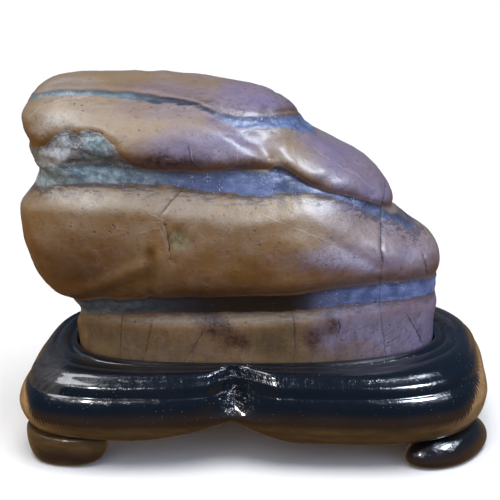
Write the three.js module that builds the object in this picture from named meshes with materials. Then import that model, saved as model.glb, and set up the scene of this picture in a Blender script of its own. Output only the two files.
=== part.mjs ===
// Scholar's rock: a layered, water-worn stone resting in the socket of a carved hardwood stand.
// Units are millimetres, +Z is up, X runs along the length and -Y is the front.
// The origin is at the middle of the footprint, on the surface that the feet stand on.

import * as THREE from 'three';

// ---------------------------------------------------------------- driving dimensions

const FOOTPRINT_MIDDLE = { x: 1.6, y: 0.2 }; // of the outline below, which the group moves to the origin
const CLEARANCE = 0.3; // gap between pieces that touch
const SEAT_GAP = 0.6; // gap between the stone and the wall of its socket

// stand
const UNDERSIDE_Z = 12.8; // flat underside of the ring, above the origin
const UNDERSIDE_SLOPE = 0.0145; // it comes down a little towards the right
const SOCKET_FLOOR_Z = 34;
const RIM_TOP_Z = 42;
const APRON_DEPTH = 14; // the part of the ring's height that follows the shape of the apron
const FOOT_DEPTH = 19; // from the edge of the ring to the inner side of a foot

// The cusp in the middle of the front apron: where it is, its height, and how far each flank runs.
const FLUTE_END = 1.2; // share of the way in where the hollow behind the cusp runs out
const CUSP = { x: -9.5, rise: 7.4, left: { run: 46, power: 1.6 }, right: { run: 27, power: 1.4 } };

// stone
const STONE_BASE_Z = SOCKET_FLOOR_Z + CLEARANCE;
const STONE_CENTRE = new THREE.Vector3(-8, 1, 119); // rays for the crown start here
const SHOULDER = 0.5; // share of the climb that is below this centre
const CROWN_ROUNDING = 12;
const LIP_SHARPNESS = 2.2; // how tightly a layer rounds under at its lower edge
const STONE_STEPS_AROUND = 80;
const STONE_RINGS = [6, 1, 9, 1, 8, 1, 6]; // rings from the base to the foot and lip of each seam, and on up
const CROWN_SPREAD = 1.8; // gathers the last rings at the edge of the crown
const SEAM_FOOT = -0.8; // just below and just above the sharp upper edge of a groove
const SEAM_LIP = 0.6;

// How far the stone reaches to the left, right, front and back at each height, seams left out.
const LEFT_REACH = [
  [34, -77.5], [52, -78.4], [58, -80.4], [64, -84.5], [69, -90], [76, -94.5], [84, -97.6], [94, -99.8],
  [104, -99.8], [112, -98.2], [120, -96.5], [130, -97.2], [140, -98.4], [148, -96.5], [155, -92.5],
  [162, -87],
];
const RIGHT_REACH = [
  [34, 79.5], [50, 80.5], [60, 81.5], [66, 82], [73, 82.2], [80, 80.8], [88, 75.6], [100, 63.2], [110, 57.6],
  [119, 49.5], [127, 36.8], [135, 26], [142, 21.2], [149, 15], [162, 7],
];
const FRONT_REACH = [
  [34, -34.5], [50, -36.5], [62, -39.5], [78, -44.5], [92, -46], [106, -44.5], [120, -42.5], [132, -41.5],
  [142, -37.5], [152, -31], [162, -24],
];
const BACK_REACH = [
  [34, 35.5], [50, 38], [64, 41.5], [80, 46], [96, 47.5], [112, 45.5], [128, 42], [142, 37], [152, 31],
  [162, 24],
];

// The seams between the layers, lowest first. Each has its height along X, its fall towards the back,
// the half width and depth of its groove along X, and the lengths over which the layers round into it.
const SEAMS = [
  {
    height: [[-82, 60], [-72, 64], [-44, 66.5], [0, 67.8], [20, 68.8], [40, 70.6], [62, 70.6], [82, 67]],
    fall: [[-82, 0.2], [-50, 0.02], [80, 0]],
    halfWidth: [[-80, 3.6], [0, 4], [80, 4.2]],
    depth: [[-80, 2.6], [-60, 4.4], [0, 4.6], [50, 3.4], [80, 1.8]],
    above: 7,
    below: 6,
  },
  {
    height: [
      [-96, 121], [-80, 122], [-62, 123.4], [-42, 122], [-24, 120.3], [-4, 119.8], [11, 119.3], [26, 114.4],
      [40, 109], [51, 103], [66, 95],
    ],
    fall: [[-96, 0.12], [-50, 0.02], [66, 0]],
    halfWidth: [[-96, 4.6], [-62, 4.8], [-34, 3.6], [-10, 5.1], [8, 4.7], [22, 1.6], [36, 1.4], [56, 2.4]],
    depth: [[-96, 5], [-40, 4.8], [0, 5.6], [30, 3.6], [66, 3]],
    above: 7,
    below: 11,
  },
  {
    height: [
      [-96, 150.5], [-84, 152.6], [-68, 154.1], [-50, 153.4], [-34, 151.2], [-20, 148.4], [-8, 143.6],
      [4, 141.8], [14, 140.8], [26, 137],
    ],
    fall: [[-96, 0.05], [26, 0.05]],
    halfWidth: [[-96, 0.8], [-40, 1], [-20, 1.1], [-6, 2.2], [26, 2.7]],
    depth: [[-96, 1.4], [-50, 1.8], [-16, 3], [6, 3.2], [26, 2]],
    above: 6,
    below: 6,
  },
];

// Plan of the ring at its widest, anticlockwise from the left end, seen from above.
const RING_OUTLINE = [
  [-100.5, -36], [-93, -51], [-75, -58], [-50, -59.5], [-28, -58], [-10, -54], [8, -57.5], [35, -60],
  [65, -59], [87, -50], [99.5, -32], [103, -8], [103.5, 18], [95, 40], [72, 55], [33, 60.5], [-12, 60.5],
  [-50, 56], [-77, 44], [-90, 24], [-96.5, 0], [-99.5, -20],
];
const RING_STEPS_AROUND = 96;

// Section of the ring: how far in from the edge (a share of the way to the socket) and how high.
const RING_SECTION = [
  [0.2, UNDERSIDE_Z], [0.1, 14.2], [0.035, 18.2], [0, 24.5], [0.035, 31], [0.13, 36], [0.27, 38.4],
  [0.36, 40.4],
  [0.5, RIM_TOP_Z], [0.66, 41.8], [0.8, 40.2], [0.87, 40.9], [0.96, 40.9], [1, 40.2],
];

// Feet: where each one starts and ends along the ring's outline, in turns from the left end, and how
// far inside the edge of the ring it swells to.
const FEET = {
  foot_front_left: { from: -0.03, to: 0.115, inset: 2 },
  foot_front_right: { from: 0.364, to: 0.492, inset: -1.5 },
  foot_back_right: { from: 0.57, to: 0.665, inset: 1 },
  foot_back_left: { from: 0.785, to: 0.885, inset: 1 },
};
const FOOT_STEPS = 12;

// Section of a foot: its share of the full plan and of the height, from the sole up.
const FOOT_SECTION = [[0.64, 0], [0.79, 0.07], [0.9, 0.21], [0.965, 0.4], [1, 0.64], [0.98, 0.85], [0.91, 1]];

// ---------------------------------------------------------------- materials

const stoneMaterial = new THREE.MeshStandardMaterial({ color: 0x8f7052, roughness: 0.42, metalness: 0 });
const lacquerMaterial = new THREE.MeshStandardMaterial({ color: 0x1c130f, roughness: 0.18, metalness: 0 });

// ---------------------------------------------------------------- small helpers

const clamp = (value, low, high) => Math.min(high, Math.max(low, value));

const smoothstep = (value) => {
  const t = clamp(value, 0, 1);
  return t * t * (3 - 2 * t);
};

// A smooth curve through [position, value] pairs, level beyond both ends.
function smoothCurve(points) {
  const slope = (i) => {
    const before = points[Math.max(i - 1, 0)];
    const after = points[Math.min(i + 1, points.length - 1)];
    return (after[1] - before[1]) / (after[0] - before[0]);
  };
  return (position) => {
    const last = points.length - 1;
    if (position <= points[0][0]) return points[0][1];
    if (position >= points[last][0]) return points[last][1];
    let i = 0;
    while (points[i + 1][0] < position) i += 1;
    const [x0, y0] = points[i];
    const [x1, y1] = points[i + 1];
    const span = x1 - x0;
    const t = (position - x0) / span;
    const bend0 = slope(i) * span;
    const bend1 = slope(i + 1) * span;
    return y0 + t * (bend0 + t * (3 * (y1 - y0) - 2 * bend0 - bend1 + t * (2 * (y0 - y1) + bend0 + bend1)));
  };
}

// The place where a test that is true at low turns false on the way to high.
function boundary(isBefore, low, high) {
  let [a, b] = [low, high];
  for (let i = 0; i < 30; i += 1) {
    const middle = (a + b) / 2;
    if (isBefore(middle)) a = middle;
    else b = middle;
  }
  return (a + b) / 2;
}

// The larger of two values, with the corner between them rounded off.
function smoothMax(a, b, radius) {
  const overlap = Math.max(radius - Math.abs(a - b), 0) / radius;
  return Math.max(a, b) + (overlap * overlap * radius) / 4;
}

// A closed skin over rings of points, all with the same number of points, ordered from the bottom up
// and each running anticlockwise seen from above. Both ends are closed by a fan to a middle point.
function skinOverRings(rings, bottomPoint, topPoint) {
  const around = rings[0].length;
  const positions = [...rings.flat(), bottomPoint, topPoint].flatMap((p) => [p.x, p.y, p.z]);
  const bottom = rings.length * around;
  const top = bottom + 1;
  const indices = [];
  for (let i = 0; i < around; i += 1) {
    const next = (i + 1) % around;
    const topRing = (rings.length - 1) * around;
    indices.push(bottom, next, i);
    indices.push(top, topRing + i, topRing + next);
    for (let ring = 0; ring < rings.length - 1; ring += 1) {
      const low = ring * around;
      const high = low + around;
      indices.push(low + i, low + next, high + next, low + i, high + next, high + i);
    }
  }
  const geometry = new THREE.BufferGeometry();
  geometry.setAttribute('position', new THREE.Float32BufferAttribute(positions, 3));
  geometry.setIndex(indices);
  geometry.computeVertexNormals();
  return geometry;
}

// ---------------------------------------------------------------- stone

const reach = {
  left: smoothCurve(LEFT_REACH),
  right: smoothCurve(RIGHT_REACH),
  front: smoothCurve(FRONT_REACH),
  back: smoothCurve(BACK_REACH),
};

const seams = SEAMS.map((seam) => ({
  ...seam,
  height: smoothCurve(seam.height),
  fall: smoothCurve(seam.fall),
  halfWidth: smoothCurve(seam.halfWidth),
  depth: smoothCurve(seam.depth),
}));

const seamHeight = (seam, x, y) => seam.height(x) - seam.fall(x) * (y + 30);

// Squareness of the plan: the front left corner is the boldest one.
function squareness(x, y) {
  const right = smoothstep(0.5 + x);
  const back = smoothstep(0.5 + y);
  const front = 3.1 + (2.3 - 3.1) * right;
  const rear = 2.5 + (2.4 - 2.5) * right;
  return front + (rear - front) * back;
}

// How far the grooves cut in at a point.
function grooveInset(x, y, z) {
  let inset = 0;
  for (const seam of seams) {
    const offset = z - seamHeight(seam, x, y);
    const halfWidth = seam.halfWidth(x);
    const past = Math.abs(offset) - halfWidth;
    let share = 1;
    if (past > 0) {
      const t = Math.min(past / (offset > 0 ? seam.above : seam.below), 1);
      share = offset > 0 ? (1 - t) ** LIP_SHARPNESS : 1 - smoothstep(t);
    }
    inset = Math.max(inset, seam.depth(x) * share);
  }
  return inset;
}

// Distance outside the stone's upper face, which falls away to the right and to both sides.
const aboveTop = (x, y, z) => z - (157.5 - 0.0014 * (x + 66) ** 2 - 0.0035 * (y - 6) ** 2);

// Roughly the distance of a point outside the stone; negative inside.
function outsideStone(x, y, z) {
  const left = reach.left(z);
  const right = reach.right(z);
  const front = reach.front(z);
  const back = reach.back(z);
  const dx = x - (left + right) / 2;
  const dy = y - (front + back) / 2;
  const unitX = dx / ((right - left) / 2);
  const unitY = dy / ((back - front) / 2);
  const power = squareness(unitX, unitY);
  const size = (Math.abs(unitX) ** power + Math.abs(unitY) ** power) ** (1 / power);
  const side = Math.hypot(dx, dy) * (1 - 1 / Math.max(size, 0.01)) + grooveInset(x, y, z);
  return smoothMax(side, aboveTop(x, y, z), CROWN_ROUNDING);
}

// A point on the stone: turn goes round it, climb goes from the base (0) up the sides to the crown (1).
function stonePoint(turn, climb) {
  const angle = turn * Math.PI * 2;
  const tilt = Math.max((climb - SHOULDER) / (1 - SHOULDER), 0) * (Math.PI / 2);
  const rise = Math.min(climb / SHOULDER, 1);
  const start = STONE_CENTRE.clone();
  start.z = STONE_BASE_Z + (STONE_CENTRE.z - STONE_BASE_Z) * rise;
  const direction = new THREE.Vector3(
    Math.cos(angle) * Math.cos(tilt),
    Math.sin(angle) * Math.cos(tilt),
    Math.sin(tilt),
  );
  const at = (distance) => start.clone().addScaledVector(direction, distance);
  const isInside = (distance) => {
    const p = at(distance);
    return outsideStone(p.x, p.y, p.z) < 0;
  };
  return at(boundary(isInside, 0, 150));
}

// How far up the stone's side a ray meets the upper edge of a seam's groove, offset by a height.
const climbToSeam = (seam, turn, offset) => boundary((climb) => {
  const p = stonePoint(turn, climb);
  return p.z < seamHeight(seam, p.x, p.y) + seam.halfWidth(p.x) + offset;
}, 0, 1);

// One column of points from the base to the crown, closer together next to the seams.
function stoneColumn(turn) {
  const offsets = [SEAM_FOOT, SEAM_LIP];
  const stops = seams.flatMap((seam) => offsets.map((offset) => climbToSeam(seam, turn, offset)));
  const edges = [0, ...stops, 1];
  return STONE_RINGS.flatMap((count, stretch) => Array.from({ length: count }, (_, ring) => {
    const t = ring / count;
    const isCrown = stretch === STONE_RINGS.length - 1;
    const eased = isCrown ? t ** CROWN_SPREAD : 0.5 * t + 0.5 * smoothstep(t);
    return stonePoint(turn, edges[stretch] + (edges[stretch + 1] - edges[stretch]) * eased);
  }));
}

function stoneRings() {
  const columns = Array.from({ length: STONE_STEPS_AROUND }, (_, i) => stoneColumn(i / STONE_STEPS_AROUND));
  return columns[0].map((_, ring) => columns.map((column) => column[ring]));
}

function stoneMesh() {
  const base = new THREE.Vector3(STONE_CENTRE.x, STONE_CENTRE.y, STONE_BASE_Z);
  const mesh = new THREE.Mesh(skinOverRings(stoneRings(), base, stonePoint(0, 1)), stoneMaterial);
  mesh.name = 'stone';
  return mesh;
}

// ---------------------------------------------------------------- stand

const ringCurve = new THREE.CatmullRomCurve3(
  RING_OUTLINE.map(([x, y]) => new THREE.Vector3(x, y, 0)),
  true,
);

// The wall of the socket, facing a point of the outer edge.
function socketPoint(edge) {
  const centre = STONE_CENTRE;
  const direction = new THREE.Vector3(edge.x - centre.x, edge.y - centre.y, 0).normalize();
  const isInside = (distance) => {
    const x = centre.x + direction.x * distance;
    const y = centre.y + direction.y * distance;
    return outsideStone(x, y, 41) < SEAT_GAP;
  };
  return new THREE.Vector3(centre.x, centre.y, 0).addScaledVector(direction, boundary(isInside, 0, 150));
}

// A point of the ring: turn along its outline, share of the way in to the socket, and height.
function ringPoint(turn, share, z) {
  const edge = ringCurve.getPoint(((turn % 1) + 1) % 1);
  const point = edge.clone().lerp(socketPoint(edge), share);
  point.z = z;
  return point;
}

const undersideHeight = (x) => UNDERSIDE_Z - UNDERSIDE_SLOPE * x;

// The height of the apron's edge: level with the underside, and rising in a cusp at the front.
function apronHeight(x, y) {
  const flank = x < CUSP.x ? CUSP.left : CUSP.right;
  const nearness = Math.max(1 - Math.abs(x - CUSP.x) / flank.run, 0);
  const rise = y < 0 ? CUSP.rise * nearness ** flank.power : 0;
  return undersideHeight(x) + rise;
}

// The underside is flat apart from a flute behind the cusp, which runs out towards the middle.
function undersidePoint(turn, share) {
  const point = ringPoint(turn, share, 0);
  const flat = undersideHeight(point.x);
  const edge = ringCurve.getPoint(turn);
  const flute = clamp((FLUTE_END - share) / (FLUTE_END - RING_SECTION[0][0]), 0, 1);
  point.z = flat + (apronHeight(edge.x, edge.y) - undersideHeight(edge.x)) * flute;
  return point;
}

// A point of the moulding: its lower part follows the apron's edge.
function mouldingPoint(turn, share, z) {
  const point = ringPoint(turn, share, z);
  const edge = ringCurve.getPoint(turn);
  const low = 1 - smoothstep((z - UNDERSIDE_Z) / APRON_DEPTH);
  point.z += (apronHeight(edge.x, edge.y) - UNDERSIDE_Z) * low;
  return point;
}

function standBodyMesh() {
  const turns = Array.from({ length: RING_STEPS_AROUND }, (_, i) => i / RING_STEPS_AROUND);
  const under = [1, 0.6, 0.35].map((share) => turns.map((turn) => undersidePoint(turn, share)));
  const moulding = RING_SECTION.map(([share, z]) => turns.map((turn) => mouldingPoint(turn, share, z)));
  const floorEdge = turns.map((turn) => ringPoint(turn, 1, SOCKET_FLOOR_Z));
  const { x, y } = STONE_CENTRE;
  const middle = new THREE.Vector3(x, y, undersideHeight(x));
  const floor = new THREE.Vector3(x, y, SOCKET_FLOOR_Z);
  const rings = [...under, ...moulding, floorEdge];
  const mesh = new THREE.Mesh(skinOverRings(rings, middle, floor), lacquerMaterial);
  mesh.name = 'stand_body';
  return mesh;
}

// A point a given distance inside the edge of the ring, square to it.
function insideEdge(turn, distance) {
  const at = ((turn % 1) + 1) % 1;
  const tangent = ringCurve.getTangent(at);
  return ringCurve.getPoint(at).add(new THREE.Vector3(-tangent.y, tangent.x, 0).multiplyScalar(distance));
}

// The widest plan of a foot: out along the ring's edge, then back along a line inside it.
function footPlan({ from, to, inset }) {
  const middle = (inset + FOOT_DEPTH) / 2;
  const half = (FOOT_DEPTH - inset) / 2;
  const outer = [];
  const inner = [];
  for (let i = 0; i <= FOOT_STEPS; i += 1) {
    const along = -Math.cos((i / FOOT_STEPS) * Math.PI);
    const turn = (from + to) / 2 + ((to - from) / 2) * along;
    const round = Math.sqrt(1 - along ** 4);
    outer.push(insideEdge(turn, middle - half * round));
    inner.push(insideEdge(turn, middle + half * round));
  }
  return [...outer, ...inner.slice(1, -1).reverse()];
}

// A foot is a low cushion under the edge of the ring: its sides swell between a flat sole and the
// sloping underside that it is glued to.
function footMesh(name, span) {
  const middle = insideEdge((span.from + span.to) / 2, (span.inset + FOOT_DEPTH) / 2);
  const topAt = (x) => undersideHeight(x) - CLEARANCE;
  const rings = FOOT_SECTION.map(([scale, rise]) => footPlan(span).map((p) => {
    const point = middle.clone().lerp(p, scale);
    point.z = topAt(point.x) * rise;
    return point;
  }));
  const sole = new THREE.Vector3(middle.x, middle.y, 0);
  const top = new THREE.Vector3(middle.x, middle.y, topAt(middle.x));
  const mesh = new THREE.Mesh(skinOverRings(rings, sole, top), lacquerMaterial);
  mesh.name = name;
  return mesh;
}

// ---------------------------------------------------------------- assembly

const part = new THREE.Group();
part.name = 'scholars_rock';
part.position.set(-FOOTPRINT_MIDDLE.x, -FOOTPRINT_MIDDLE.y, 0);
part.add(stoneMesh());
part.add(standBodyMesh());
for (const [name, span] of Object.entries(FEET)) part.add(footMesh(name, span));

export default part;
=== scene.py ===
"""A scholar's rock resting in its carved, lacquered stand: the visual model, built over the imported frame.

Shapes are worked out in millimetres in the part's own frame and written to Blender in metres.
"""

import math

import bpy
import numpy as np
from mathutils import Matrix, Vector


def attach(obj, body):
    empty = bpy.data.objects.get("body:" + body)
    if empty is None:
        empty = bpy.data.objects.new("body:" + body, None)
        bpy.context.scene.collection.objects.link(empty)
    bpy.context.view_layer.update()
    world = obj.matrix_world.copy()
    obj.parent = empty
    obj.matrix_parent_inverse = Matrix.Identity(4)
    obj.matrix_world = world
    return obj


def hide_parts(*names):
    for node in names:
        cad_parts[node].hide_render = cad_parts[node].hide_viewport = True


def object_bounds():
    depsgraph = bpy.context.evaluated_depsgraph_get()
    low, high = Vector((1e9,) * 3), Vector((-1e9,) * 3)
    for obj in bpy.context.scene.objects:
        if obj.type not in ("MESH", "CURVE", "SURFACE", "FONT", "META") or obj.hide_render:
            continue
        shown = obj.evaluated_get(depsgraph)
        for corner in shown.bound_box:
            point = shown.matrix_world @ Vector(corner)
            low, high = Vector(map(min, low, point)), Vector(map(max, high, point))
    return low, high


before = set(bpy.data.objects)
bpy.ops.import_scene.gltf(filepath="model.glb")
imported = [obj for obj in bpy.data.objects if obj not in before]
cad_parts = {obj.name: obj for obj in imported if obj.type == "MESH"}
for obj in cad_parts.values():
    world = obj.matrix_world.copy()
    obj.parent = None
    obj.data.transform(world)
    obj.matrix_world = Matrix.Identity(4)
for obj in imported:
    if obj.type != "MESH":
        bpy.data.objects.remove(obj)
CAD_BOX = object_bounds()

MM = 0.001  # metres in a millimetre

# ---- driving dimensions, in millimetres

FOOTPRINT_MIDDLE = np.array([1.6, 0.2, 0.0])  # of the shapes below, which moves to the origin
CLEARANCE = 0.3
SEAT_GAP = 0.6

# stand
UNDERSIDE_Z = 12.8
UNDERSIDE_SLOPE = 0.0145
SOCKET_FLOOR_Z = 34.0
SOCKET_OUTLINE_Z = 41.0  # the socket follows the stone's outline at this height
APRON_DEPTH = 14.0
FOOT_DEPTH = 19.0
FLUTE_START = 0.2
FLUTE_END = 1.2
CUSP_X = -9.5
CUSP_RISE = 7.4
CUSP_LEFT = (46.0, 1.6)  # run and power of each flank
CUSP_RIGHT = (27.0, 1.4)
NOTCH_DEPTH = 6.6  # the crease down the front of the ring over the cusp, deepest at the top of the roll
NOTCH_LEFT = 11.0  # its reach on each side
NOTCH_RIGHT = 20.0
FACET_START = 23.0  # beside the crease the roll is cut flat from this height
FACET_END = 37.5
FACET_SHARE = 0.235  # how far in the cut ends
UNDERSIDE_SHARES = (1.0, 0.8, 0.6, 0.45, 0.35, 0.3)  # rows under the ring, from the socket's wall outwards
SOCKET_ROWS = (38.0, 36.0, SOCKET_FLOOR_Z + 0.4, SOCKET_FLOOR_Z)
RING_COLUMNS = 720
RING_ROWS = 78
FOOT_ROWS = 40
RING_SHRINK = 0.001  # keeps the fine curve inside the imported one

RING_OUTLINE = [
    (-100.5, -36), (-93, -51), (-75, -58), (-50, -59.5), (-28, -58), (-10, -54), (8, -57.5), (35, -60),
    (65, -59), (87, -50), (99.5, -32), (103, -8), (103.5, 18), (95, 40), (72, 55), (33, 60.5), (-12, 60.5),
    (-50, 56), (-77, 44), (-90, 24), (-96.5, 0), (-99.5, -20),
]
# How far in from the edge (a share of the way to the socket) and how high, from the underside up.
RING_SECTION = [
    (0.24, 12.8), (0.17, 13.0), (0.1, 14.2), (0.035, 18.2), (0.0, 23.0), (0.015, 26.5), (0.055, 29.8),
    (0.11, 32.2), (0.14, 33.0), (0.155, 34.0), (0.175, 35.4), (0.21, 37.0), (0.25, 38.0), (0.285, 38.9),
    (0.34, 40.4), (0.43, 41.6), (0.5, 41.7), (0.55, 41.3), (0.6, 41.7), (0.68, 41.9), (0.75, 41.2),
    (0.79, 40.3), (0.815, 40.0), (0.84, 40.6), (0.9, 41.3), (0.96, 41.1), (0.99, 40.5), (1.0, 39.2),
]
FEET = {
    "foot_front_left": (-0.03, 0.115, 2.0),  # start and end along the outline, in turns, and inset
    "foot_front_right": (0.364, 0.492, -1.5),
    "foot_back_right": (0.57, 0.665, 1.0),
    "foot_back_left": (0.785, 0.885, 1.0),
}
BOWL_SECTION = [
    (0.5, 0), (0.6, 0), (0.68, 0.02), (0.78, 0.09), (0.885, 0.23), (0.955, 0.43), (0.99, 0.64), (0.985, 0.84),
    (0.95, 0.95), (0.89, 0.99), (0.82, 1), (0.7, 1),
]
CUSHION_SECTION = [
    (0.5, 0), (0.68, 0), (0.8, 0.02), (0.9, 0.07), (0.965, 0.17), (0.99, 0.3), (0.98, 0.43), (0.945, 0.56),
    (0.89, 0.69), (0.82, 0.8), (0.74, 0.9), (0.66, 0.97), (0.58, 1),
]

# stone
STONE_BASE_Z = SOCKET_FLOOR_Z + CLEARANCE
STONE_CENTRE = np.array([-8.0, 1.0, 119.0])
SHOULDER = 0.5
CROWN_TOP = (-66, 6, 157.5)
CROWN_FALL = (0.0014, 0.0035)  # how fast it curves down along X and along Y
CROWN_ROUNDING = 12.0
CROWN_DROP = 0.3  # keeps the relief on the crown under the plain shape's top
LIP_SHARPNESS = 2.2
STONE_COLUMNS = 640
STONE_RINGS = [22, 4, 40, 4, 31, 4, 36]  # between the base, the two sides of each upper lip, and the crown
LIP_SIDES = (-0.8, 0.6)  # rows of the mesh run this far from each lip
FRONT_DENSITY, BACK_DENSITY = 1.35, 0.72  # of the stone's columns
FAR = 150.0  # from the middle, beyond the stone
MOST_RISE = 1.6  # of the relief above the plain shape

LEFT_REACH = [
    (34, -77.5), (52, -78.4), (58, -80.4), (64, -84.5), (69, -90), (76, -94.5), (84, -97.6), (94, -99.8),
    (104, -99.8), (112, -98.2), (120, -96.5), (130, -97.2), (140, -98.4), (148, -96.5), (155, -92.5),
    (162, -87),
]
RIGHT_REACH = [
    (34, 79.5), (50, 80.5), (60, 81.5), (66, 82), (73, 82.2), (80, 80.8), (88, 75.6), (100, 63.2),
    (110, 57.6), (119, 49.5), (127, 36.8), (135, 26), (142, 21.2), (149, 15), (162, 7),
]
FRONT_REACH = [
    (34, -34.5), (50, -36.5), (62, -39.5), (78, -44.5), (92, -46), (106, -44.5), (120, -42.5), (132, -41.5),
    (142, -37.5), (152, -31), (162, -24),
]
BACK_REACH = [
    (34, 35.5), (50, 38), (64, 41.5), (80, 46), (96, 47.5), (112, 45.5), (128, 42), (142, 37), (152, 31),
    (162, 24),
]


def smooth_curve(points):
    """A smooth curve through (position, value) pairs, level beyond both ends."""
    xs = np.array([p[0] for p in points], float)
    ys = np.array([p[1] for p in points], float)
    before = np.maximum(np.arange(len(xs)) - 1, 0)
    after = np.minimum(np.arange(len(xs)) + 1, len(xs) - 1)
    slopes = (ys[after] - ys[before]) / (xs[after] - xs[before])

    def at(position):
        p = np.clip(position, xs[0], xs[-1])
        i = np.clip(np.searchsorted(xs, p, side="right") - 1, 0, len(xs) - 2)
        span = xs[i + 1] - xs[i]
        t = (p - xs[i]) / span
        rise = ys[i + 1] - ys[i]
        bend0 = slopes[i] * span
        bend1 = slopes[i + 1] * span
        return ys[i] + t * (bend0 + t * (3 * rise - 2 * bend0 - bend1 + t * (bend0 + bend1 - 2 * rise)))

    return at


class Seam:
    """A groove between two layers of the stone."""

    def __init__(self, height, fall, half_width, depth, above, below):
        self.height_along = smooth_curve(height)
        self.fall = smooth_curve(fall)
        self.half_width = smooth_curve(half_width)
        self.depth = smooth_curve(depth)
        self.above = above
        self.below = below

    def height(self, x, y):
        return self.height_along(x) - self.fall(x) * (y + 30)


SEAMS = [
    Seam(
        height=[(-82, 60), (-72, 64), (-44, 66.5), (0, 67.8), (20, 68.8), (40, 70.6), (62, 70.6), (82, 67)],
        fall=[(-82, 0.2), (-50, 0.02), (80, 0)],
        half_width=[(-80, 3.6), (0, 4), (80, 4.2)],
        depth=[(-80, 2.6), (-60, 4.4), (0, 4.6), (50, 3.4), (80, 1.8)],
        above=7, below=6,
    ),
    Seam(
        height=[
            (-96, 121), (-80, 122), (-62, 123.4), (-42, 122), (-24, 120.3), (-4, 119.8), (11, 119.3),
            (26, 114.4), (40, 109), (51, 103), (66, 95),
        ],
        fall=[(-96, 0.12), (-50, 0.02), (66, 0)],
        half_width=[
            (-96, 4.6), (-62, 4.8), (-34, 3.6), (-10, 5.1), (8, 4.7), (22, 1.6), (36, 1.4), (56, 2.4),
        ],
        depth=[(-96, 5), (-40, 4.8), (0, 5.6), (30, 3.6), (66, 3)],
        above=7, below=11,
    ),
    Seam(
        height=[
            (-96, 150.5), (-84, 152.6), (-68, 154.1), (-50, 153.4), (-34, 151.2), (-20, 148.4), (-8, 143.6),
            (4, 141.8), (14, 140.8), (26, 137),
        ],
        fall=[(-96, 0.05), (26, 0.05)],
        half_width=[(-96, 0.8), (-40, 1), (-20, 1.1), (-6, 2.2), (26, 2.7)],
        depth=[(-96, 1.4), (-50, 1.8), (-16, 3), (6, 3.2), (26, 2)],
        above=6, below=6,
    ),
]

# The dark band in each groove: its upper and lower edge above the middle of the groove, along X, and
# its tone, from black (0) to blue (1).
BANDS = [
    (
        [(-76, 2.4), (-65, 3), (-43, 3.9), (0, 3.6), (40, 3.8), (76, 3.5)],
        [(-73, -5.2), (-57, -3.9), (-44, -3.2), (-20, -3.8), (0, -4.2), (40, -3.9), (62, -4.6), (76, -3.8)],
        # the black middle of the lowest band: partly its own dark colour, partly painted shade under the
        # overhanging layer above it
        [(-80, 0.45), (-60, 0.3), (-30, 0.08), (0, 0.0), (20, 0.08), (32, 0.7), (44, 1.0), (82, 1.0)],
    ),
    (
        [(-90, 2.2), (-79, 3.5), (-54, 3.6), (-42, 3.2), (-30, 3.4), (-16, 4.3), (-10, 5.2), (-2, 4.5),
         (5, 3.8), (8.5, 6.3), (12, 5.8), (18, 3.5), (26, 1.7), (52, 2.5), (58, 0.8), (63, 0.2), (70, -3)],
        [(-89, -6.2), (-80, -4.4), (-63, -4), (-46, -2.9), (-38, -2.2), (-30, -2.6), (-14, -3.8), (2, -5.4),
         (10, -4.2), (18, -2.4), (26, -0.4), (35, 0), (44, -0.7), (53, -1.2), (62, -1), (70, -4)],
        [(-96, 0.95), (-60, 0.75), (-34, 0.55), (-15, 0.78), (5, 0.75), (16, 0.5), (28, 0.9), (40, 0.7),
         (50, 0.55), (66, 0.3)],
    ),
    (
        [(-93, 0.2), (-84, 1.6), (-74, 1.4), (-50, 1.5), (-35, 1.5), (-20, 1), (-15, 0), (-10, 1.2), (2, 2.3),
         (10, 2.6), (20, 2.8)],
        [(-91, -0.8), (-86, 0), (-63, -0.5), (-42, -1.3), (-34, -0.6), (-22, -0.8), (-14, -1.5), (-8, -2.2),
         (6, -1.7), (20, -2.2)],
        [(-96, 0.5), (-60, 0.35), (-40, 0.12), (-20, 0.1), (-12, 0.5), (-4, 0.68), (26, 0.62)],
    ),
]

# How strongly dark strokes edge each band, above and below it.
HATCHING = [(0.0, 0.6), (0.0, 1.0), (0.9, 0.2)]

# ---- numbers


def smoothstep(value, low=0.0, high=1.0):
    t = np.clip((value - low) / (high - low), 0, 1)
    return t * t * (3 - 2 * t)


def boundary(is_before, low, high, rounds=26):
    """For each item, the place where a test that is true at low turns false on the way to high."""
    for _ in range(rounds):
        middle = (low + high) / 2
        before = is_before(middle)
        low = np.where(before, middle, low)
        high = np.where(before, high, middle)
    return (low + high) / 2


def lattice_noise(points, size, seed):
    """Smooth noise from -1 to 1, in cells of the given size or sizes."""
    scaled = points / size
    cell = np.floor(scaled).astype(np.int64)
    t = scaled - cell
    t = t * t * (3 - 2 * t)
    total = np.zeros(len(points))
    for corner in np.ndindex(2, 2, 2):
        at = cell + np.array(corner)
        code = at[:, 0] * 73856093 ^ at[:, 1] * 19349663 ^ at[:, 2] * 83492791 ^ seed * 7919
        code = (code ^ (code >> 13)) * 1274126177
        value = ((code ^ (code >> 16)) & 0xFFFF) / 32767.5 - 1
        weight = np.prod(np.where(np.array(corner) == 1, t, 1 - t), axis=1)
        total += value * weight
    return total


def layered_noise(points, size, seed, octaves=4):
    total = np.zeros(len(points))
    share = 1.0
    for octave in range(octaves):
        total += share * lattice_noise(points, np.asarray(size) / 2**octave, seed + octave)
        share *= 0.5
    return total


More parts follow.
